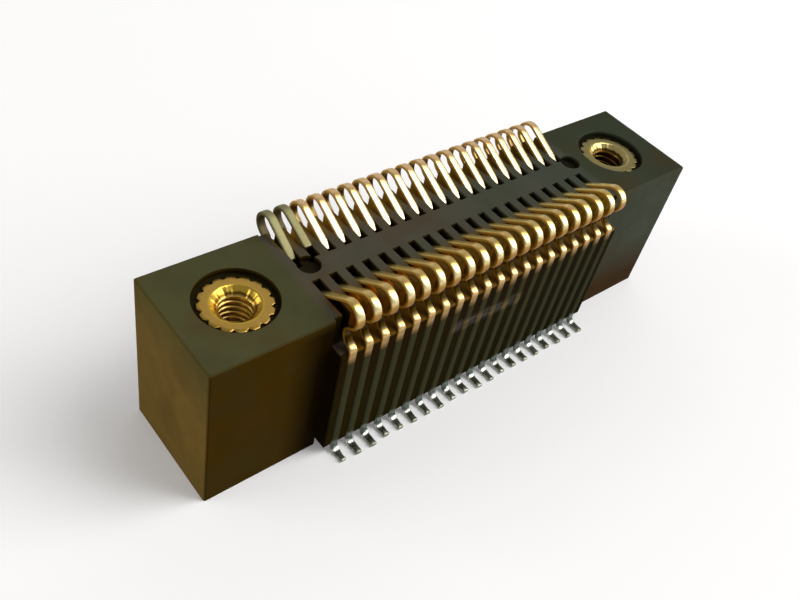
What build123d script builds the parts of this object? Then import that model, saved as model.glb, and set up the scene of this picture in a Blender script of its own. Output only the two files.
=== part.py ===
from build123d import *
import math
import os

# Board to board connector: a moulded housing with two rows of sprung contacts and two threaded inserts.
# Millimetres. +X along the rows, -Y the near row, +Z off the board, origin on the board under the middle.

# Contact rows
contact_pitch = 1.27
contacts_per_row = 20

# Housing: overall height and end blocks
housing_height = 12.27
end_block_length = 8.42
end_block_width = 8.62
corner_round = 0.18
rim_chamfer = 0.1

# Housing: slotted strip, comb, ledge and ribs between the end blocks
slot_inner_end = 0.85
slot_depth = 2.37
slot_clearance = 0.04
comb_clearance = 0.19
rib_set_back = 0.08
end_rib_length = 0.6
ledge_chamfer = 0.12
standoff = 0.75

# Housing: round dimples at the ends of the strip
dimple_radius = 0.8
dimple_depth = 0.45
dimple_beyond_row = 0.12
dimple_shift_x = 0.54
dimple_shift_y = 0.45

# Contact strip: stock, foot and shank
strip_thickness = 0.25
strip_width = 0.58
foot_length = 1.27
foot_bend_radius = 0.4
shank_face = 5.38
shoulder_above_ledge = 0.03

# Contact strip: shoulder, neck, spring bend and beam
shoulder_radius = 0.3
shoulder_turn = 60
neck_rise = 0.411
neck_radius = 0.745
neck_turn = 120
spring_run = 0.172
spring_radius = 0.895
beam_slope = 33
tip_clearance = 0.45
tip_taper_length = 0.5
tip_end_width = 0.16

# Contact strip: each bend is drawn in flats that turn by this many degrees at most
bend_flat_turn = 30

# Barbs that hold each shank between the ribs
barb_length = 0.5
barb_height = 4.2

# Worn contacts at the left end of the far row: length lost from the tip, and degrees bent up
worn_tips = {1: (0.4, 0), 2: (0.56, 5)}

# Threaded inserts
insert_inward_shift = 0.09
insert_radius = 2.34
insert_length = 5.6
insert_below_top = 0.34
knurl_teeth = 16
knurl_depth = 0.24
crest_share = 0.5
waist_width = 0.9
thread_bore_radius = 1.025
mouth_radius = 1.56
mouth_depth = 0.52

# Holes in the end blocks for the inserts and the board screws
counterbore_clearance = 0.3
counterbore_depth = 0.46
screw_hole_radius = 1.5
screw_hole_chamfer = 0.25

# Lengths that follow from the sizes above
row_half_length = (contacts_per_row - 1) / 2 * contact_pitch
slot_width = strip_width + slot_clearance
ribbed_half_length = row_half_length + slot_width / 2 + end_rib_length
insert_x = ribbed_half_length + end_block_length / 2 - insert_inward_shift

# Heights and widths that follow
ledge_height = housing_height - slot_depth
shoulder_height = ledge_height + shoulder_above_ledge
groove_floor = shank_face - strip_thickness
shank_middle = shank_face - strip_thickness / 2
rib_half_width = shank_face - rib_set_back
foot_reach = shank_face + foot_length
insert_top = housing_height - insert_below_top

# The neck reaches inwards over the ledge, and the comb walls end short of it
shoulder_angle = math.radians(shoulder_turn)
neck_offset = (shoulder_radius + neck_radius) * (1 - math.cos(shoulder_angle)) + neck_rise * math.sin(
    shoulder_angle
)
comb_half_width = shank_middle - neck_offset - strip_thickness / 2 - comb_clearance
tip_reach = slot_inner_end + tip_clearance


def contact_x(index):
    """X of the contact with this number, 1 at the left end."""
    return (index - 1) * contact_pitch - row_half_length


# Housing: end blocks with rounded corners and a narrow chamfer round the top
upright = (Align.CENTER, Align.CENTER, Align.MIN)
block = Box(end_block_length, end_block_width, housing_height, align=(Align.MIN, Align.CENTER, Align.MIN))
block = fillet(block.edges().filter_by(Axis.Z).group_by(Axis.X)[-1], corner_round)
rim = block.faces().sort_by(Axis.Z)[-1].edges() - block.edges().group_by(Axis.X)[0]
block = Pos(ribbed_half_length, 0, 0) * chamfer(rim, rim_chamfer)

# Housing: core with ribs and ledge, and the comb that stands on it
middle_length = 2 * ribbed_half_length
core = Pos(0, 0, standoff) * Box(middle_length, 2 * rib_half_width, ledge_height - standoff, align=upright)
core = chamfer(core.edges().filter_by(Axis.X).group_by(Axis.Z)[-1], ledge_chamfer)
comb = Pos(0, 0, standoff) * Box(middle_length, 2 * comb_half_width, housing_height - standoff, align=upright)
housing = core + comb + block + Rot(0, 0, 180) * block

# Housing: slots for the beams and grooves for the shanks
outwards = (Align.CENTER, Align.MIN, Align.MIN)
slot = Pos(0, slot_inner_end, ledge_height) * Box(
    slot_width, comb_half_width - slot_inner_end, slot_depth, align=outwards
)
groove = Pos(0, groove_floor, 0) * Box(
    slot_width, rib_half_width - groove_floor, ledge_height, align=outwards
)
cuts = [
    Pos(contact_x(number), 0, 0) * Rot(0, 0, turn) * cut
    for number in range(1, contacts_per_row + 1)
    for turn in (0, 180)
    for cut in (slot, groove)
]
housing = housing - cuts

# Housing: dimples
for side in (-1, 1):
    dimple_x = side * (row_half_length + dimple_beyond_row) + dimple_shift_x
    dimple = Cylinder(dimple_radius, dimple_depth)
    housing = housing - Pos(dimple_x, dimple_shift_y, housing_height - dimple_depth / 2) * dimple

# Threaded insert: coarse straight knurl of flat-topped teeth with a notch between each two
root_radius = insert_radius - knurl_depth
tooth_corners = [(-crest_share / 2, insert_radius), (crest_share / 2, insert_radius), (0.5, root_radius)]
knurl_points = []
for tooth in range(knurl_teeth):
    for share, radius in tooth_corners:
        angle = 2 * math.pi * (tooth + share) / knurl_teeth
        knurl_points.append((radius * math.cos(angle), radius * math.sin(angle)))
insert_outside = extrude(make_face(Polyline(*knurl_points, close=True)), -insert_length)

# Threaded insert: waist between the two knurled bands, bore and countersunk mouth
waist_ring = Cylinder(insert_radius + knurl_depth, waist_width) - Cylinder(root_radius, waist_width)
insert_outside = insert_outside - Pos(0, 0, -insert_length / 2) * waist_ring
bore = Cylinder(thread_bore_radius, 2 * insert_length)
mouth = Pos(0, 0, -mouth_depth / 2) * Cone(thread_bore_radius, mouth_radius, mouth_depth)
insert_body = insert_outside - bore - mouth

# Housing: seats that fill the knurls, counterbores above and screw holes below
counterbore = Cylinder(insert_radius + counterbore_clearance, counterbore_depth)
screw_hole = Cylinder(screw_hole_radius, housing_height - insert_length, align=upright)
lead_in = Cone(screw_hole_radius + screw_hole_chamfer, screw_hole_radius, screw_hole_chamfer, align=upright)
for side in (-1, 1):
    axis = Pos(side * insert_x, 0, 0)
    housing = housing - axis * Pos(0, 0, insert_top) * insert_outside
    housing = housing - axis * Pos(0, 0, housing_height - counterbore_depth / 2) * counterbore
    housing = housing - axis * screw_hole - axis * lead_in


def strip_face(start, heading, steps):
    """Side view of a strip of the named thickness along runs and bends that join tangentially.

    Each step is ("run", length), ("reach", Y to end at) or ("bend", radius, turn), turn positive to the left.
    """
    point = Vector(*start)
    angle = math.radians(heading)
    stations = [(point, angle)]

    def beside(centre, direction, offset):
        return centre + Vector(-math.sin(direction), math.cos(direction)) * offset

    for step in steps:
        if step[0] == "bend":
            turn = math.radians(step[2])
            offset = math.copysign(step[1], turn)
            centre = beside(point, angle, offset)
            flats = math.ceil(abs(step[2]) / bend_flat_turn)
            for _ in range(flats):
                angle = angle + turn / flats
                point = beside(centre, angle, -offset)
                stations.append((point, angle))
        else:
            length = step[1] if step[0] == "run" else (step[1] - point.X) / math.cos(angle)
            point = point + Vector(math.cos(angle), math.sin(angle)) * length
            stations.append((point, angle))
    left_side = [beside(*station, strip_thickness / 2) for station in stations]
    right_side = [beside(*station, -strip_thickness / 2) for station in reversed(stations)]
    return make_face(Polyline(*left_side, *right_side, close=True))


def contact(lost_length, bent_up):
    """One contact with its shank on +Y: foot, shank, shoulder, neck, spring bend and tapered beam."""
    slope = beam_slope - bent_up
    side_view = strip_face(
        (foot_reach, strip_thickness / 2),
        180,
        [
            ("run", foot_reach - shank_middle - foot_bend_radius),
            ("bend", foot_bend_radius, -90),
            ("run", shoulder_height - strip_thickness / 2 - foot_bend_radius),
            ("bend", shoulder_radius, shoulder_turn),
            ("run", neck_rise),
            ("bend", neck_radius, -neck_turn),
            ("run", spring_run),
            ("bend", spring_radius, 90 + slope + neck_turn - shoulder_turn),
            ("reach", tip_reach + lost_length),
        ],
    )
    strip = Plane.YZ * extrude(side_view, strip_width / 2, both=True)

    # Plan view: full width, narrowing evenly to the tip
    half_plan = [
        (tip_end_width / 2, tip_reach - strip_thickness),
        (tip_end_width / 2, tip_reach),
        (strip_width / 2, tip_reach + tip_taper_length),
        (strip_width / 2, foot_reach + strip_thickness),
    ]
    other_half = [(-x, y) for x, y in reversed(half_plan)]
    plan = make_face(Polyline(*half_plan, *other_half, close=True))
    strip = strip & extrude(plan, 2 * housing_height)

    # Barbs as wide as the groove
    barb_corners = [
        (-strip_width / 2, barb_height),
        (-slot_width / 2, barb_height + barb_length),
        (slot_width / 2, barb_height + barb_length),
        (strip_width / 2, barb_height),
    ]
    barbs = extrude(Plane.XZ * make_face(Polyline(*barb_corners, close=True)), -strip_thickness)
    return strip + Pos(0, groove_floor, 0) * barbs


# Write the pieces
os.makedirs("parts", exist_ok=True)
export_step(housing, "parts/housing.step")
for side, name in ((-1, "left"), (1, "right")):
    export_step(Pos(side * insert_x, 0, insert_top) * insert_body, f"parts/threaded_insert_{name}.step")

whole_contact = contact(0, 0)
for number in range(1, contacts_per_row + 1):
    place = Pos(contact_x(number), 0, 0)
    far_contact = contact(*worn_tips[number]) if number in worn_tips else whole_contact
    export_step(place * Rot(0, 0, 180) * whole_contact, f"parts/contact_near_{number:02d}.step")
    export_step(place * far_contact, f"parts/contact_far_{number:02d}.step")
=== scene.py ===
import bpy
import numpy as np
from mathutils import Matrix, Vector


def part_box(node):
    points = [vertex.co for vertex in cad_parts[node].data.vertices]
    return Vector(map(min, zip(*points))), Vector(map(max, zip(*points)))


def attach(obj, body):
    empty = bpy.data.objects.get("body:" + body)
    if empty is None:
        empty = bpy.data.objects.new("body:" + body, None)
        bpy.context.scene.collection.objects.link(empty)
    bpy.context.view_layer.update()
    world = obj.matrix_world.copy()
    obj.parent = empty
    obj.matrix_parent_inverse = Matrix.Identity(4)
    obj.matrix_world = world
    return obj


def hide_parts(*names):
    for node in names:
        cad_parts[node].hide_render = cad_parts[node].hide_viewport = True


# A board to board connector, about 43 mm long: two rows of sprung contacts between two threaded end blocks.
# Sizes are in millimetres and become metres where a mesh is made. +X runs along the rows, -Y is the near row.
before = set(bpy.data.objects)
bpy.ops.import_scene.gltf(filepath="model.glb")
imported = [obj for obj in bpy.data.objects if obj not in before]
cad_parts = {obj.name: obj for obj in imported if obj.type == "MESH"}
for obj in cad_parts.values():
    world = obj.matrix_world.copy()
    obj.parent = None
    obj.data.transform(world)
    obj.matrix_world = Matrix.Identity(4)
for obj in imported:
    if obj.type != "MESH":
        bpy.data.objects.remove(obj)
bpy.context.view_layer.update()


# Housing. One injection moulding in dark glass-filled plastic, satin on every face, warmer at the left end
# and cooler at the right. Light and shade are painted into its colour: sides darker than tops, a pale left
# end, the comb and ledge golden brown in the springs' light, painted shade in its recesses and on its ribs
# between the shanks, a painted shadow in the corner left of the near row, and pale highlights along its
# edges. It has one short band of scuffs.
housing_end = 21.4
housing_top = 12.27
block_inner_end = 12.9
row_end = 12.0
comb_side = 4.05
ledge_height = 9.9
rib_side = 5.1
scuff_left = -3.4
scuff_right = 3.8
scuff_height = 7.25
scuff_half_height = 0.7
streaks_per_metre = (800.0, 3000.0)


def add(tree, kind, inputs=None, **settings):
    """Adds a node to a tree. An input given a socket is linked to it, and one given a value is set to it."""
    node = tree.nodes.new("ShaderNode" + kind)
    for name, value in settings.items():
        setattr(node, name, value)
    for name, value in (inputs or {}).items():
        if isinstance(value, bpy.types.NodeSocket):
            tree.links.new(value, node.inputs[name])
        else:
            node.inputs[name].default_value = value
    return node


def start_group(name, inputs, outputs):
    """Makes a node group with float inputs, given as name to default, and outputs, as name to socket type."""
    tree = bpy.data.node_groups.new(name, "ShaderNodeTree")
    for socket_name, value in inputs.items():
        socket = tree.interface.new_socket(socket_name, in_out="INPUT", socket_type="NodeSocketFloat")
        socket.default_value = value
    for socket_name, kind in outputs.items():
        tree.interface.new_socket(socket_name, in_out="OUTPUT", socket_type=kind)
    return tree, tree.nodes.new("NodeGroupInput").outputs, tree.nodes.new("NodeGroupOutput").inputs


def use_group(tree, group, **values):
    """Places a node group in a material's tree with its own values."""
    node = tree.nodes.new("ShaderNodeGroup")
    node.node_tree = group
    for name, value in values.items():
        node.inputs[name.replace("_", " ")].default_value = value
    return node.outputs


def calculate(tree, operation, *values):
    """A number worked out from one or two others by one of Blender's operations."""
    return add(tree, "Math", dict(enumerate(values)), operation=operation).outputs[0]


def times(tree, *factors):
    """The product of masks and numbers."""
    product = factors[0]
    for factor in factors[1:]:
        product = calculate(tree, "MULTIPLY", product, factor)
    return product


def absolute(tree, value):
    """A number without its sign."""
    return calculate(tree, "ABSOLUTE", value)


def ramp_up(tree, value, start, end, low=0.0, high=1.0):
    """A value that goes from low to high as the given one goes from start to end, and holds beyond them."""
    inputs = {"Value": value, "From Min": start, "From Max": end, "To Min": low, "To Max": high}
    return add(tree, "MapRange", inputs).outputs[0]


def between(tree, length, start, end):
    """A mask that goes from 0 to 1 as a length in metres goes from start to end, both in millimetres."""
    return ramp_up(tree, length, start / 1000, end / 1000)


def inside(tree, *borders):
    """A mask that is 1 past every border, each given as a length, where its mask is 0, and where it is 1."""
    return times(tree, *[between(tree, *border) for border in borders])


def place_on(tree):
    """X, Y and Z of each point of the piece, in metres."""
    return add(tree, "SeparateXYZ", {0: add(tree, "TexCoord").outputs["Object"]}).outputs


def facing(tree):
    """X, Y and Z of the way that the surface faces."""
    return add(tree, "SeparateXYZ", {0: add(tree, "NewGeometry").outputs["Normal"]}).outputs


def grain_group():
    """Fine grain and larger blotches: two noises in the piece's own frame, 0 to 1, sizes in millimetres."""
    results = {"Grain": "NodeSocketFloat", "Blotch": "NodeSocketFloat"}
    tree, given, out = start_group("grain", {"Grain Size": 0.15, "Blotch Size": 2.5}, results)
    place = add(tree, "TexCoord").outputs["Object"]
    for size, result, detail in (("Grain Size", "Grain", 3.0), ("Blotch Size", "Blotch", 2.0)):
        scale = calculate(tree, "DIVIDE", 1000.0, given[size])
        noise = add(tree, "TexNoise", {"Vector": place, "Scale": scale, "Detail": detail, "Roughness": 0.6})
        tree.links.new(noise.outputs["Fac"], out[result])
    return tree


def soft_edge_group():
    """Edges seen as slightly round: the normal averaged over the radius, and edge where that turns it."""
    results = {"Normal": "NodeSocketVector", "Edge": "NodeSocketFloat"}
    tree, given, out = start_group("soft_edge", {"Radius": 0.08}, results)
    rounded = add(tree, "Bevel", {"Radius": times(tree, given["Radius"], 0.001)}, samples=6).outputs["Normal"]
    face = add(tree, "NewGeometry").outputs["True Normal"]
    same = add(tree, "VectorMath", {0: rounded, 1: face}, operation="DOT_PRODUCT").outputs["Value"]
    tree.links.new(rounded, out["Normal"])
    tree.links.new(ramp_up(tree, same, 0.995, 0.8), out["Edge"])
    return tree


def scuff_group():
    """Scuffs on the near side: 1 in a short band along the row, streaked by a noise drawn out along it."""
    tree, given, out = start_group("scuff", {"Amount": 1.0}, {"Scuff": "NodeSocketFloat"})
    x, y, z = place_on(tree)
    above = calculate(tree, "SUBTRACT", z, scuff_height / 1000)
    band = inside(tree, (absolute(tree, above), scuff_half_height, 0.25), (y, -4.8, -5.1),
                  (x, scuff_left, scuff_left + 0.6), (x, scuff_right, scuff_right - 0.4))
    along, upwards = times(tree, x, streaks_per_metre[0]), times(tree, above, streaks_per_metre[1])
    drawn_out = add(tree, "CombineXYZ", {"X": along, "Y": upwards}).outputs[0]
    streaks = add(tree, "TexNoise", {"Vector": drawn_out, "Scale": 1.0, "Detail": 3.0}).outputs["Fac"]
    value = times(tree, given["Amount"], band, ramp_up(tree, streaks, 0.38, 0.6, 0.3, 1.0))
    tree.links.new(value, out["Scuff"])
    return tree


def mix(tree, share, first, second):
    """A colour between two, by a share from 0 to 1. Each colour is a socket, or red, green and blue."""
    node = add(tree, "Mix", {0: share}, data_type="RGBA")
    for socket, tone in ((node.inputs[6], first), (node.inputs[7], second)):
        if isinstance(tone, bpy.types.NodeSocket):
            tree.links.new(tone, socket)
        else:
            socket.default_value = (*tone, 1.0)
    return node.outputs[2]


def start_material(name, **constants):
    """A material with one Principled shader, whose even values are set on its own sockets."""
    material = bpy.data.materials.new(name)
    material.use_nodes = True
    shader = material.node_tree.nodes["Principled BSDF"]
    for socket, value in constants.items():
        shader.inputs[socket.replace("_", " ")].default_value = value
    return material, material.node_tree, shader.inputs


def by_row(tree, place, near_left, near_right, far_left, far_right):
    """A colour that goes from left to right along each row, as the gold's light on the plastic does."""
    x, y, _ = place
    along_row = between(tree, x, -row_end, row_end)
    near = mix(tree, along_row, near_left, near_right)
    far = mix(tree, along_row, far_left, far_right)
    return mix(tree, between(tree, y, -1, 1), near, far)


def plastic_lit_and_shaded(tree, place):
    """The plastic's tones from left to right, with painted light and shade: sides darker than tops, a pale
    left end, and the tops beside the beams in the beams' golden light.
    """
    x, y, z = place
    facing_x, _, facing_z = facing(tree)
    from_centre = absolute(tree, x)
    to_right = between(tree, x, -housing_end, housing_end)
    # Sides are painted darker than tops as shade; the right sides are painted darker and redder towards the
    # bottom.
    shaded_right_sides = mix(tree, between(tree, z, 1.5, 6), (0.052, 0.025, 0.009), (0.073, 0.088, 0.065))
    shaded_sides = mix(tree, between(tree, x, -13, housing_end), (0.056, 0.030, 0.001), shaded_right_sides)
    block_tops = mix(tree, to_right, (0.075, 0.071, 0.029), (0.037, 0.044, 0.028))
    strip_tops = mix(tree, to_right, (0.080, 0.067, 0.042), (0.060, 0.066, 0.054))
    on_strip = between(tree, from_centre, block_inner_end + 0.4, block_inner_end)
    tops = mix(tree, on_strip, block_tops, strip_tops)
    base = mix(tree, ramp_up(tree, facing_z, 0.5, 0.9), shaded_sides, tops)
    # The left end face is painted pale with light, paler low down.
    lit_left_end = mix(tree, between(tree, z, 8, 12), (0.205, 0.130, 0.028), (0.13, 0.102, 0.026))
    at_left_end = times(tree, ramp_up(tree, facing_x, -0.5, -0.9), between(tree, x, -20.5, -21.0))
    base = mix(tree, at_left_end, base, lit_left_end)
    # Painted golden light from the beams on the tops beside them.
    gold_light_by_beams = by_row(tree, place, (0.15, 0.058, 0.004), (0.13, 0.09, 0.012),
                  (0.27, 0.16, 0.03), (0.09, 0.07, 0.012))
    by_beams = inside(tree, (absolute(tree, y), 1.9, 3.1), (z, housing_top - 0.17, housing_top - 0.07),
                      (from_centre, row_end + 0.6, row_end + 0.4))
    return mix(tree, by_beams, base, gold_light_by_beams)


def stained(tree, base, place, fine_blotch):
    """Stains over the plastic: olive ones towards the right, faint reddish ones, and a finer dark mottle."""
    coarse_blotch = use_group(tree, grain, Grain_Size=1.1, Blotch_Size=4.5)["Blotch"]
    to_right = between(tree, place[0], -housing_end, housing_end)
    olive = times(tree, ramp_up(tree, coarse_blotch, 0.5, 0.62), ramp_up(tree, to_right, 0.0, 0.5, 0.12, 0.4))
    base = mix(tree, olive, base, mix(tree, 0.75, base, (0.035, 0.055, 0.03)))
    reddish = times(tree, ramp_up(tree, coarse_blotch, 0.48, 0.36), 0.25)
    base = mix(tree, reddish, base, (0.075, 0.035, 0.008))
    mottle = times(tree, ramp_up(tree, fine_blotch, 0.4, 0.65), 0.15)
    return mix(tree, mottle, base, (0.03, 0.026, 0.012))


def shade_highlights_and_scuffs(tree, base, place, edge):
    """Painted shade on the ribs, dark at the foot and brown at the head, then edges painted pale as
    highlights, most on the right, and scuffs.
    """
    x, y, z = place
    along_row = between(tree, x, -row_end, row_end)
    # Painted shade on the ribs between the shanks.
    rib_foot_shade = mix(tree, along_row, (0.016, 0.011, 0.0002), (0.006, 0.006, 0.0001))
    rib_head_shade = mix(tree, along_row, (0.018, 0.008, 0.0), (0.010, 0.006, 0.0001))
    on_ribs = inside(tree, (absolute(tree, y), rib_side - 0.05, rib_side),
                     (absolute(tree, x), block_inner_end + 0.4, block_inner_end))
    rib_shade = mix(tree, between(tree, z, 5.5, 9), rib_foot_shade, rib_head_shade)
    base = mix(tree, times(tree, on_ribs, 0.97), base, rib_shade)
    to_right = between(tree, x, -housing_end, housing_end)
    # Painted highlights along the edges, strongest on the right.
    edge_highlight = times(tree, edge, ramp_up(tree, to_right, 0.0, 1.0, 0.25, 0.6))
    base = mix(tree, edge_highlight, base, mix(tree, to_right, (0.085, 0.065, 0.02), (0.115, 0.14, 0.115)))
    scuffs = use_group(tree, scuff, Amount=0.8)["Scuff"]
    return mix(tree, scuffs, base, (0.095, 0.09, 0.082))


def gold_light_and_shade(tree, base, place):
    """Painted shade in the recesses, then the comb and ledge painted in the springs' golden light, then a
    painted shadow in the corner left of the near row.

    The painted golden light goes from deep in the slots to their mouths, to the comb's outside, and down to
    the ledge.
    """
    x, y, z = place
    from_middle = absolute(tree, y)
    along_row = between(tree, x, -row_end, row_end)
    # Painted shade in the slots and recesses below the top.
    recess_shade = inside(tree, (z, housing_top - 0.05, housing_top - 0.27), (from_middle, 4.2, 4.15),
                    (absolute(tree, x), housing_end - 0.8, housing_end - 1.0))
    base = mix(tree, times(tree, recess_shade, 0.85), base, (0.009, 0.005, 0.0))
    deep = by_row(tree, place, (0.85, 0.32, 0.006), (0.80, 0.46, 0.03),
                  (0.75, 0.42, 0.05), (0.20, 0.13, 0.01))
    slot_mouth = by_row(tree, place, (0.20, 0.065, 0.001), (0.50, 0.36, 0.05),
                        (0.58, 0.34, 0.04), (0.16, 0.10, 0.008))
    outside = mix(tree, along_row, (0.13, 0.035, 0.001), (0.235, 0.15, 0.015))
    ledge = mix(tree, along_row, (0.13, 0.06, 0.003), (0.23, 0.135, 0.035))
    golden = mix(tree, between(tree, from_middle, 3.2, 3.6), deep, slot_mouth)
    golden = mix(tree, between(tree, from_middle, comb_side - 0.02, comb_side), golden, outside)
    golden = mix(tree, between(tree, z, ledge_height + 0.05, ledge_height + 0.4), ledge, golden)
    comb = inside(tree, (x, 0.26 - row_end, 0.3 - row_end),
                  (x, block_inner_end + 0.05, block_inner_end - 0.1), (from_middle, 2.1, 2.5),
                  (z, housing_top - 0.05, housing_top - 0.07), (z, ledge_height - 0.15, ledge_height - 0.05))
    base = mix(tree, comb, base, golden)
    # Painted shadow on the left block's near face beside the ribs.
    corner_shadow = inside(tree, (x, -16.0, -13.7), (x, 0.1 - block_inner_end, -block_inner_end),
                    (y, -4.0, -4.3), (z, housing_top - 0.07, housing_top - 0.87))
    return mix(tree, times(tree, corner_shadow, 0.85), base, (0.006, 0.003, 0.0))


grain = grain_group()
soft_edge = soft_edge_group()
scuff = scuff_group()

moulded, tree, surface = start_material("moulded_plastic", Specular_IOR_Level=0.006)
place = place_on(tree)
grains = use_group(tree, grain, Grain_Size=0.16, Blotch_Size=2.6)
edges = use_group(tree, soft_edge, Radius=0.09)
base = stained(tree, plastic_lit_and_shaded(tree, place), place, grains["Blotch"])
base = gold_light_and_shade(tree, shade_highlights_and_scuffs(tree, base, place, edges["Edge"]), place)
bump_inputs = {"Height": grains["Grain"], "Normal": edges["Normal"], "Strength": 0.35, "Distance": 0.00002}
tree.links.new(base, surface["Base Color"])
tree.links.new(ramp_up(tree, grains["Grain"], 0, 1, 0.42, 0.62), surface["Roughness"])
tree.links.new(add(tree, "Bump", bump_inputs).outputs[0], surface["Normal"])

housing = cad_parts["housing"]
housing.data.materials.clear()
housing.data.materials.append(moulded)


# Threaded inserts. Each is turned in brass, with sixteen coarse teeth cut along its outside that the plastic
# grips, a waist between two bands of teeth, a countersunk mouth that shows tool marks, and a metric screw
# thread inside. The right one is duller. Glints are painted bright on the thread's crests and shade dark in
# its roots.
insert_axis = 17.095
insert_radius = 2.34
tooth_depth = 0.24
teeth = 16
tooth_flat = 0.5
insert_length = 5.6
waist = 0.9
rim_bevel = 0.07
mouth_radius = 1.56
mouth_depth = 0.52
tool_marks = 13
tool_mark_depth = 0.03
fine_marks = 29
fine_mark_depth = 0.012
thread_radius = 1.025
thread_depth = 0.2
thread_pitch = 0.45
thread_start = 0.3
thread_end = 0.2
ring_middle = 1.85
band_margin = 0.4
band_steps = 5
points_per_tooth = 12
mouth_steps = 9
bore_steps = 120


def closed_grid(name, points):
    """A mesh from a grid of points in metres, closed on itself in both of its directions."""
    rows, columns, _ = points.shape
    row, column = np.meshgrid(np.arange(rows), np.arange(columns), indexing="ij")
    next_row, next_column = (row + 1) % rows, (column + 1) % columns
    corners = [(row, column), (next_row, column), (next_row, next_column), (row, next_column)]
    quads = np.stack([at_row * columns + at_column for at_row, at_column in corners], axis=-1).reshape(-1, 4)
    mesh = bpy.data.meshes.new(name)
    mesh.from_pydata(points.reshape(-1, 3).tolist(), [], quads.tolist())
    mesh.polygons.foreach_set("use_smooth", np.ones(len(mesh.polygons), dtype=bool))
    return mesh


def insert_points(centre_x, top):
    """A turned ring with teeth outside and a thread inside, as a closed section swept round the axis.

    The section runs up the outside, in over the rim, down the mouth and the bore and out along the bottom.
    Outside, the radius falls from the crest in each notch, straight in angle. The mouth is a cone with two
    sines of the angle on it, strongest halfway. In the bore, the radius follows a blunt triangle wave in
    height, which turns once round the axis for each pitch.
    """
    low, high = top - insert_length, top
    waist_low, waist_high = (low + high - waist) / 2, (low + high + waist) / 2
    low_band = np.linspace(low + band_margin, waist_low, band_steps)
    high_band = np.linspace(waist_high, high - band_margin, band_steps)
    low_rim, high_rim = [low, low, low + rim_bevel], [high - rim_bevel, high - rim_bevel / 3, high]
    outside_z = np.concatenate([low_rim, low_band, [waist_low, waist_high], high_band, high_rim])
    toothed = np.repeat([1, 0, 1], [band_steps + 3, 2, band_steps + 3])
    bevel = np.zeros(len(outside_z))
    bevel[[1, -1]] = rim_bevel
    bevel[-2] = rim_bevel / 3
    angle = np.linspace(0, 2 * np.pi, teeth * points_per_tooth, endpoint=False)[:, None]
    in_tooth = np.abs((angle * teeth / (2 * np.pi) + 0.5) % 1 - 0.5)
    notch = np.clip((in_tooth - tooth_flat / 2) / (0.5 - tooth_flat / 2), 0, 1)
    root = insert_radius - tooth_depth
    outside = root + (tooth_depth * (1 - notch)) * toothed - bevel
    outside[:, 0] = root - 2 * rim_bevel
    ring = np.array([root - 0.1, ring_middle, mouth_radius + 0.05])
    marks = tool_mark_depth * np.sin(tool_marks * angle + 0.7 * np.sin(3 * angle))
    marks = marks + fine_mark_depth * np.sin(fine_marks * angle)
    down_mouth = np.linspace(0, 1, mouth_steps)
    mouth = mouth_radius + (thread_radius - mouth_radius) * down_mouth + marks * np.sin(np.pi * down_mouth)
    mouth_z = high - mouth_depth * down_mouth
    bore_z = np.linspace(high - mouth_depth, low, bore_steps)[1:]
    turn = (bore_z / thread_pitch - angle / (2 * np.pi)) % 1
    wave = np.clip(1.25 - 2.5 * np.abs(turn - 0.5) * 2, 0, 1)
    fade = np.clip((high - mouth_depth - bore_z) / thread_start, 0, 1)
    fade = fade * np.clip((bore_z - low) / thread_end, 0, 1)
    bore = thread_radius + thread_depth * wave * fade
    radius = np.concatenate([outside, np.repeat(ring[None], len(angle), 0), mouth, bore], axis=1)
    height = np.concatenate([outside_z, [high] * len(ring), mouth_z, bore_z])
    return np.stack([centre_x + radius * np.cos(angle), radius * np.sin(angle),
                     np.broadcast_to(height, radius.shape)], axis=-1) / 1000


brass, tree, surface = start_material("insert_brass", Metallic=1.0)
grains = use_group(tree, grain, Grain_Size=0.12, Blotch_Size=0.9)
x, y, _ = place_on(tree)
sideways = calculate(tree, "SUBTRACT", absolute(tree, x), insert_axis / 1000)
from_axis = add(tree, "CombineXYZ", {"X": sideways, "Y": y}).outputs[0]
from_axis = add(tree, "VectorMath", {0: from_axis}, operation="LENGTH").outputs["Value"]
at_right = between(tree, x, -1, 1)
face_light = mix(tree, at_right, (0.58, 0.37, 0.085), (0.31, 0.26, 0.10))
face_dark = mix(tree, at_right, (0.46, 0.28, 0.052), (0.24, 0.19, 0.062))
face_tone = mix(tree, grains["Blotch"], face_light, face_dark)
# Painted glints on the thread crests and painted shade in the roots, both much darker in the right bore.
crest_glint_tone = mix(tree, at_right, (0.85, 0.60, 0.16), (0.22, 0.13, 0.025))
root_shade_tone = mix(tree, at_right, (0.16, 0.08, 0.01), (0.05, 0.025, 0.002))
mouth_tone = mix(tree, at_right, (0.72, 0.48, 0.07), (0.60, 0.50, 0.19))
root_radius = thread_radius + thread_depth
base = mix(tree, between(tree, from_axis, thread_radius + 0.02, thread_radius + 0.15), crest_glint_tone, root_shade_tone)
base = mix(tree, between(tree, from_axis, root_radius, root_radius + 0.1), base, mouth_tone)
base = mix(tree, between(tree, from_axis, mouth_radius - 0.05, mouth_radius + 0.15), base, face_tone)
bumps = add(tree, "Bump", {"Height": grains["Grain"], "Strength": 0.3, "Distance": 0.00002})
tree.links.new(base, surface["Base Color"])
tree.links.new(ramp_up(tree, grains["Grain"], 0, 1, 0.2, 0.42), surface["Roughness"])
tree.links.new(bumps.outputs[0], surface["Normal"])

for side in ("left", "right"):
    low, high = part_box("threaded_insert_" + side)
    centre_x = (low.x + high.x) / 2 * 1000
    points = insert_points(centre_x, high.z * 1000)
    insert = bpy.data.objects.new("brass_insert_" + side, closed_grid("brass_insert_" + side, points))
    bpy.context.collection.objects.link(insert)
    insert.data.materials.append(brass)
    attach(insert, "root")
    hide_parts("threaded_insert_" + side)


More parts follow.
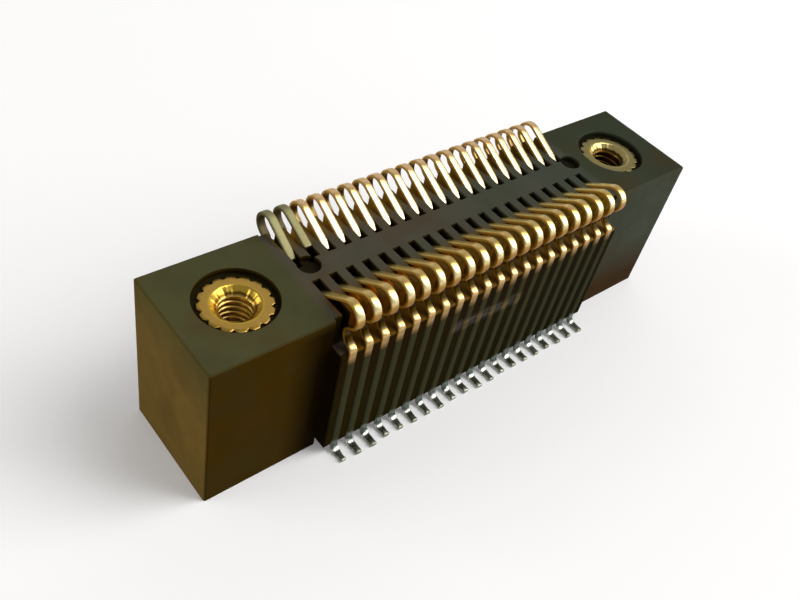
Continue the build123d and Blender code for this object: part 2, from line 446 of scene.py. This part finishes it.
# Sprung contacts. Each is stamped from thin copper alloy strip and formed, then plated: gold on the spring, a
# dull under-plate on the shank, tin on the foot. It is pressed up into its groove, where barbs on its shank
# grip. Two at the left end of the far row have lost their tips and their shine.
strip_thickness = 0.25
strip_width = 0.59
foot_reach = 6.65
shank_middle = 5.255
foot_bend_radius = 0.55
shoulder_height = 9.93
shoulder_radius = 0.3
shoulder_turn = 60
neck_rise = 0.411
neck_radius = 0.745
neck_turn = 120
spring_run = 0.172
spring_radius = 0.895
spring_turn = 183
longest_beam = 6.0
tip_reach = 1.30
tip_taper = 0.5
tip_width = 0.16
toe_length = 0.4
toe_shortened = 0.2
toe_narrowed = (0.12, 0.38)
toe_tinned = (0.05, 0.35)
unevenness = 0.015
station_length = 0.35
station_turn = 7
path_stations = 105
path_samples = 6001
toe_stations = [0.03, 0.09]
tip_stations = [0.6, 0.5, 0.25, 0.13, 0.05]
taper_power = 0.75
section_power = 0.5
points_around = 24
end_ring = 0.8
second_ring = 0.95
beam_starts = 0.7
free_from = 10
free_length = 6


def bend(radius, turn):
    """A bend's length, which is its radius times its turn as an angle, and its turn in degrees."""
    return radius * np.radians(abs(turn)), turn


def strip_path(lost_length, bent_up):
    """Centre line of a formed strip: distance, Y, Z and heading at stations that crowd where it bends.

    The heading turns evenly along each bend and holds along each run, so the line is the running sum of short
    steps along the heading. The beam runs on until it reaches the tip.
    """
    pieces = [
        (foot_reach - shank_middle - foot_bend_radius, 0),
        bend(foot_bend_radius, -90),
        (shoulder_height - strip_thickness / 2 - foot_bend_radius, 0),
        bend(shoulder_radius, shoulder_turn),
        (neck_rise, 0),
        bend(neck_radius, -neck_turn),
        (spring_run, 0),
        bend(spring_radius, spring_turn - bent_up),
        (longest_beam, 0),
    ]
    lengths, turns = np.array(pieces).T
    knots = np.concatenate([[0], np.cumsum(lengths)])
    headings = np.radians(180 + np.concatenate([[0], np.cumsum(turns)]))
    fine = np.linspace(0, knots[-1], path_samples)
    heading = np.interp(fine, knots, headings)
    middle = (heading[1:] + heading[:-1]) / 2
    step = fine[1]
    y = foot_reach + np.concatenate([[0], np.cumsum(np.cos(middle) * step)])
    z = strip_thickness / 2 + np.concatenate([[0], np.cumsum(np.sin(middle) * step)])
    last = np.argmax((fine > knots[-2]) & (y < tip_reach + lost_length))
    share = step / station_length + np.abs(np.diff(heading)) / np.radians(station_turn)
    crowding = np.cumsum(np.concatenate([[0], share]))
    stations = np.interp(np.linspace(0, crowding[last], path_stations), crowding, fine)
    stations = np.sort(np.concatenate([stations, toe_stations, fine[last] - np.array(tip_stations)]))
    return [np.interp(stations, fine, values) for values in (fine, y, z, heading)]


def strip_points(x, side, lost_length, bent_up, lean, sag, seed):
    """A contact as a rounded oblong section swept along its path.

    The section is a superellipse of the strip's width and thickness. It narrows in plan to the tip. Near the
    toe it is narrower and thicker with tin, and the foot is a little shorter. From the shoulder on it leans
    along the row and sags. These differ a little from one contact to the next.
    """
    distance, y, z, heading = strip_path(lost_length, bent_up)
    random = np.random.default_rng(seed)
    taper = np.clip((y - tip_reach) / tip_taper, 0, 1) ** taper_power
    beam_width = taper * (strip_width - tip_width) + tip_width
    width = np.where(distance > distance[-1] * beam_starts, beam_width, strip_width)
    toe = np.exp(-((distance - toe_length) / toe_length) ** 2)
    y = y - random.uniform(0, toe_shortened) * np.exp(-(distance / toe_length) ** 2)
    width = width * (1 - random.uniform(*toe_narrowed) * toe)
    tin = random.uniform(*toe_tinned) * toe
    around = np.linspace(0, 2 * np.pi, points_around, endpoint=False)
    across = np.sign(np.cos(around)) * np.abs(np.cos(around)) ** section_power
    through = np.sign(np.sin(around)) * np.abs(np.sin(around)) ** section_power
    ends = np.ones(len(distance))
    ends[[0, -1]] = end_ring
    ends[[1, -2]] = second_ring
    thick = strip_thickness * ends / 2
    free = np.clip((distance - free_from) / free_length, 0, 1)
    middle_x = x + (lean + random.normal(0, unevenness)) * free
    z = z - (sag + abs(random.normal(0, unevenness))) * free
    section_x = middle_x[:, None] + (across[None] * (width * ends)[:, None]) / 2
    section_y = y[:, None] - np.sin(heading)[:, None] * through[None] * thick[:, None]
    section_z = z[:, None] + np.cos(heading)[:, None] * through[None] * thick[:, None]
    swell = 1 - tin[:, None] * np.clip(through[None], -1, 0)
    points = np.stack([section_x, side * section_y, np.maximum(section_z * swell, 0)], axis=-1) / 1000
    return points, distance


def strip_mesh(name, points, distance, flip):
    """A swept strip as a mesh with a flat face at each end. Each point keeps its distance from the toe."""
    stations, around, _ = points.shape
    station, column = np.meshgrid(np.arange(stations - 1), np.arange(around), indexing="ij")
    after = (column + 1) % around
    corners = [(station, column), (station, after), (station + 1, after), (station + 1, column)]
    quads = np.stack([at_row * around + at_column for at_row, at_column in corners], axis=-1).reshape(-1, 4)
    last_ring = (stations - 1) * around
    faces = quads.tolist() + [list(range(around))[::-1], list(range(last_ring, last_ring + around))]
    if flip:
        faces = [face[::-1] for face in faces]
    mesh = bpy.data.meshes.new(name)
    mesh.from_pydata(points.reshape(-1, 3).tolist(), [], faces)
    smooth = np.ones(len(faces), dtype=bool)
    smooth[-2:] = False
    mesh.polygons.foreach_set("use_smooth", smooth)
    along = mesh.attributes.new("along_strip", "FLOAT", "POINT")
    along.data.foreach_set("value", np.repeat(distance, around).astype(np.float32))
    return mesh


def strip_material(name, spring_tones_lit_and_shaded, side_shade_tone, roughness_low, roughness_high):
    """Plated strip, coloured by distance from the toe: tin, dull plating on the shank, then the spring, with
    painted highlights and painted shade in its tones.

    The tones, the painted shoulder highlight among them, reach lower on the left. The cut edges are painted
    browner and less metallic as shade. Tin has dull spots.
    """
    material, tree, surface = start_material(name, Specular_IOR_Level=0.0)
    grains = use_group(tree, grain, Grain_Size=0.1, Blotch_Size=0.7)
    solder = use_group(tree, grain, Grain_Size=0.12, Blotch_Size=0.55)["Blotch"]
    scuffs = use_group(tree, scuff, Amount=0.9)["Scuff"]
    along = add(tree, "Attribute", attribute_name="along_strip").outputs["Fac"]
    uneven = times(tree, ramp_up(tree, grains["Blotch"], 0.3, 0.7, -0.2, 0.2), ramp_up(tree, along, 9.5, 8.5))
    # Tones shifted lower on the left, so the painted shoulder highlight reaches lower there.
    tones_lower_on_left = times(tree, between(tree, place_on(tree)[0], 3, -3), ramp_up(tree, along, 9.7, 10.1),
                       ramp_up(tree, along, 10.9, 10.6), 0.3)
    moved = calculate(tree, "ADD", along, calculate(tree, "ADD", uneven, tones_lower_on_left))
    ramp = add(tree, "ValToRGB", {"Fac": ramp_up(tree, moved, 0, strip_length)})
    zones = lower_tones_lit_and_shaded + spring_tones_lit_and_shaded
    for _ in range(len(zones) - 2):
        ramp.color_ramp.elements.new(0.5)
    for element, (at, tone) in zip(ramp.color_ramp.elements, zones):
        element.position = at / strip_length
        element.color = (*tone, 1.0)
    base = mix(tree, scuffs, ramp.outputs["Color"], (0.21, 0.145, 0.072))
    on_spring = ramp_up(tree, moved, gold_start, gold_full)
    # Painted shade on the cut edges that face along the row: browner and less metallic.
    shaded_cut_edge = times(tree, on_spring, ramp_up(tree, absolute(tree, facing(tree)[0]), 0.55, 0.85))
    base = mix(tree, times(tree, shaded_cut_edge, 0.9), base, side_shade_tone)
    speckle = times(tree, ramp_up(tree, grains["Grain"], 0.45, 0.75), 0.25)
    base = mix(tree, speckle, base, mix(tree, 0.6, base, (0.02, 0.012, 0.004)))
    dull_spots = times(tree, ramp_up(tree, solder, 0.42, 0.56), ramp_up(tree, along, 1.15, 0.8, 0.0, 0.7))
    base = mix(tree, dull_spots, base, (0.10, 0.105, 0.068))
    bright = calculate(tree, "ADD", ramp_up(tree, moved, tin_end, tin_full), on_spring)
    metallic = calculate(tree, "SUBTRACT", bright, times(tree, shaded_cut_edge, 0.7))
    bumps = add(tree, "Bump", {"Height": grains["Grain"], "Strength": 0.2, "Distance": 0.00001})
    tree.links.new(base, surface["Base Color"])
    tree.links.new(metallic, surface["Metallic"])
    tree.links.new(ramp_up(tree, grains["Grain"], 0, 1, roughness_low, roughness_high), surface["Roughness"])
    tree.links.new(bumps.outputs[0], surface["Normal"])
    return material


# Where the tin and the gold begin and end, and tones along the strip, by distance from the toe. The tones
# hold painted light and shade: a bright heel on the foot, the shoulder's highlight, a dark neck, and the
# spring's lit and shaded parts.
strip_length = 19.6
tin_full = 1.6
tin_end = 2.3
gold_start = 10.2
gold_full = 11.0
lower_tones_lit_and_shaded = [
    (0.0, (0.36, 0.38, 0.30)),
    (0.95, (0.40, 0.42, 0.36)),
    (1.07, (0.85, 0.88, 0.80)),
    (1.2, (0.42, 0.46, 0.42)),
    (1.35, (0.09, 0.10, 0.09)),
    (1.6, (0.15, 0.18, 0.16)),
    (1.9, (0.18, 0.22, 0.19)),
    (2.2, (0.055, 0.055, 0.027)),
    (9.4, (0.058, 0.054, 0.027)),
    (10.2, (0.062, 0.056, 0.024)),
]
near_tones_lit_and_shaded = [
    (10.6, (0.20, 0.115, 0.043)),
    (11.0, (0.45, 0.28, 0.09)),
    (11.2, (0.88, 0.62, 0.30)),
    (11.36, (0.50, 0.34, 0.12)),
    (11.5, (0.075, 0.053, 0.025)),
    (11.7, (0.018, 0.010, 0.0)),
    (12.1, (0.026, 0.014, 0.001)),
    (12.6, (0.09, 0.048, 0.004)),
    (13.2, (0.60, 0.36, 0.03)),
    (13.95, (0.18, 0.09, 0.005)),
    (14.1, (0.35, 0.14, 0.012)),
    (14.35, (0.35, 0.16, 0.019)),
    (14.55, (0.43, 0.26, 0.066)),
    (14.75, (0.78, 0.64, 0.30)),
    (14.9, (0.95, 0.83, 0.48)),
    (15.4, (0.85, 0.62, 0.20)),
    (15.7, (0.58, 0.41, 0.13)),
    (15.9, (0.66, 0.46, 0.17)),
    (16.1, (0.93, 0.69, 0.26)),
    (16.5, (0.79, 0.57, 0.17)),
    (17.9, (0.87, 0.72, 0.25)),
]
far_tones_lit_and_shaded = [
    (10.9, (0.70, 0.50, 0.22)),
    (11.2, (0.90, 0.68, 0.34)),
    (11.5, (0.40, 0.28, 0.10)),
    (14.2, (0.45, 0.30, 0.11)),
    (15.0, (0.85, 0.66, 0.34)),
    (15.75, (0.88, 0.62, 0.33)),
    (16.1, (0.62, 0.40, 0.16)),
    (16.3, (0.80, 0.62, 0.34)),
    (19.6, (0.80, 0.64, 0.38)),
]
dull_tones = [
    (10.9, (0.30, 0.24, 0.13)),
    (14.0, (0.20, 0.17, 0.09)),
    (16.0, (0.34, 0.31, 0.155)),
]
# Near and far rows share one gold; their tones differ as painted light and shade, since each row faces the
# lamps differently.
plated_near = strip_material("plated_strip_near", near_tones_lit_and_shaded, (0.42, 0.22, 0.02), 0.22, 0.4)
plated_far = strip_material("plated_strip_far", far_tones_lit_and_shaded, (0.45, 0.24, 0.03), 0.22, 0.4)
dulled = strip_material("dulled_strip", dull_tones, (0.12, 0.10, 0.04), 0.5, 0.7)

# How each row stands, and the length lost and degrees bent up of the tips in the far row, by contact number
contacts_per_row = 20
near_lean = 0.08
far_sag = 0.1
far_row_seed = 50
worn_tips = {1: (0.28, 4), 2: (0.47, 10)}
far_tips = (0.0, 7)
near_tips = (0.0, 0)

rows = (("near", -1, plated_near, near_lean, 0), ("far", 1, plated_far, 0, far_sag))
for row, side, metal, lean, sag in rows:
    for number in range(1, contacts_per_row + 1):
        node = f"contact_{row}_{number:02d}"
        low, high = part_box(node)
        lost_length, bent_up = worn_tips.get(number, far_tips) if row == "far" else near_tips
        seed = number + far_row_seed if row == "far" else number
        centre_x = (low.x + high.x) / 2 * 1000
        points, distance = strip_points(centre_x, side, lost_length, bent_up, lean, sag, seed)
        name = f"formed_strip_{row}_{number:02d}"
        strip = bpy.data.objects.new(name, strip_mesh(name, points, distance, side > 0))
        bpy.context.collection.objects.link(strip)
        strip.data.materials.append(dulled if lost_length else metal)
        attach(strip, "root")
        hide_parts(node)


# Floor. A plain pale sheet that the connector stands on, wide enough to be the background of every view. Seen
# directly or mirrored it is white paper, and what it throws back on the housing is dimmer and warmer.
floor_half = 600
half = floor_half / 1000
floor_corners = [(-half, -half, 0), (half, -half, 0), (half, half, 0), (-half, half, 0)]
floor_mesh = bpy.data.meshes.new("floor")
floor_mesh.from_pydata(floor_corners, [], [range(4)])
floor = bpy.data.objects.new("floor", floor_mesh)
bpy.context.collection.objects.link(floor)
paper, tree, surface = start_material("floor_paper", Roughness=0.9, Specular_IOR_Level=0.0)
surface["Emission Color"].default_value = (1.0, 1.0, 1.0, 1.0)
ray = add(tree, "LightPath").outputs
seen = calculate(tree, "MAXIMUM", ray["Is Camera Ray"], ray["Is Glossy Ray"])
seen = calculate(tree, "MAXIMUM", seen, ray["Is Transmission Ray"])
on_sheet = add(tree, "TexCoord").outputs["Object"]
fibres = add(tree, "TexNoise", {"Vector": on_sheet, "Scale": 60.0}).outputs["Fac"]
white = mix(tree, fibres, (0.93, 0.93, 0.93), (0.95, 0.95, 0.95))
tree.links.new(mix(tree, seen, (0.4, 0.36, 0.32), white), surface["Base Color"])
tree.links.new(times(tree, seen, 0.12), surface["Emission Strength"])
floor_mesh.materials.append(paper)


# Studio. A large soft lamp stands high on the right in front, where the gold mirrors it in every bend. A
# weaker one fills the left end, and the weakest lights the far side. The surroundings are pale at the horizon
# and dim overhead.
def soft_lamp(name, azimuth, elevation, distance, width, height, power):
    """An upright lamp, in metres and watts, facing the origin: azimuth from +X to +Y, elevation upwards."""
    data = bpy.data.lights.new(name, "AREA")
    data.shape = "RECTANGLE"
    data.size = width
    data.size_y = height
    data.energy = power
    lamp = bpy.data.objects.new(name, data)
    turn, rise = np.radians(azimuth), np.radians(elevation)
    direction = np.array([np.cos(rise) * np.cos(turn), np.cos(rise) * np.sin(turn), np.sin(rise)])
    lamp.location = distance * direction
    lamp.rotation_euler = (np.pi / 2 - rise, 0, turn + np.pi / 2)
    bpy.context.collection.objects.link(lamp)


soft_lamp("key_lamp", azimuth=-34, elevation=43, distance=0.6, width=0.35, height=0.75, power=3.6)
soft_lamp("fill_lamp", azimuth=148, elevation=18, distance=0.4, width=0.2, height=0.2, power=0.4)
soft_lamp("back_lamp", azimuth=45, elevation=40, distance=0.6, width=0.6, height=0.4, power=0.3)

world = bpy.data.worlds.new("studio")
world.use_nodes = True
tree = world.node_tree
upwards = add(tree, "SeparateXYZ", {0: add(tree, "TexCoord").outputs["Generated"]}).outputs["Z"]
low_sky = mix(tree, ramp_up(tree, upwards, 0.0, 0.12), (0.78, 0.77, 0.76), (0.46, 0.45, 0.44))
sky = mix(tree, ramp_up(tree, upwards, 0.05, 0.6), low_sky, (0.27, 0.26, 0.25))
tree.links.new(sky, tree.nodes["Background"].inputs["Color"])
bpy.context.scene.world = world


# Camera. It stands where the photograph was taken from: close above the left end, turned and slightly rolled.
# Its focal length is in pixels of a picture of that width.
camera_place = (-37.6, -30.2, 49.5)
camera_azimuth = -48.85
camera_elevation = 43.94
camera_roll = 14.29
focal_pixels = 880.8
picture_width = 800
camera_data = bpy.data.cameras.new("camera")
camera_data.sensor_width = 36
camera_data.lens = camera_data.sensor_width * focal_pixels / picture_width
camera_data.clip_start = 0.001
camera = bpy.data.objects.new("camera", camera_data)
turn, tilt, roll = np.radians([camera_azimuth, 90 - camera_elevation, camera_roll])
camera.matrix_world = (
    Matrix.Translation([value / 1000 for value in camera_place])
    @ Matrix.Rotation(turn, 4, "Z") @ Matrix.Rotation(tilt, 4, "X") @ Matrix.Rotation(roll, 4, "Z")
)
bpy.context.collection.objects.link(camera)
bpy.context.scene.camera = camera
bpy.context.scene.view_settings.view_transform = "Standard"
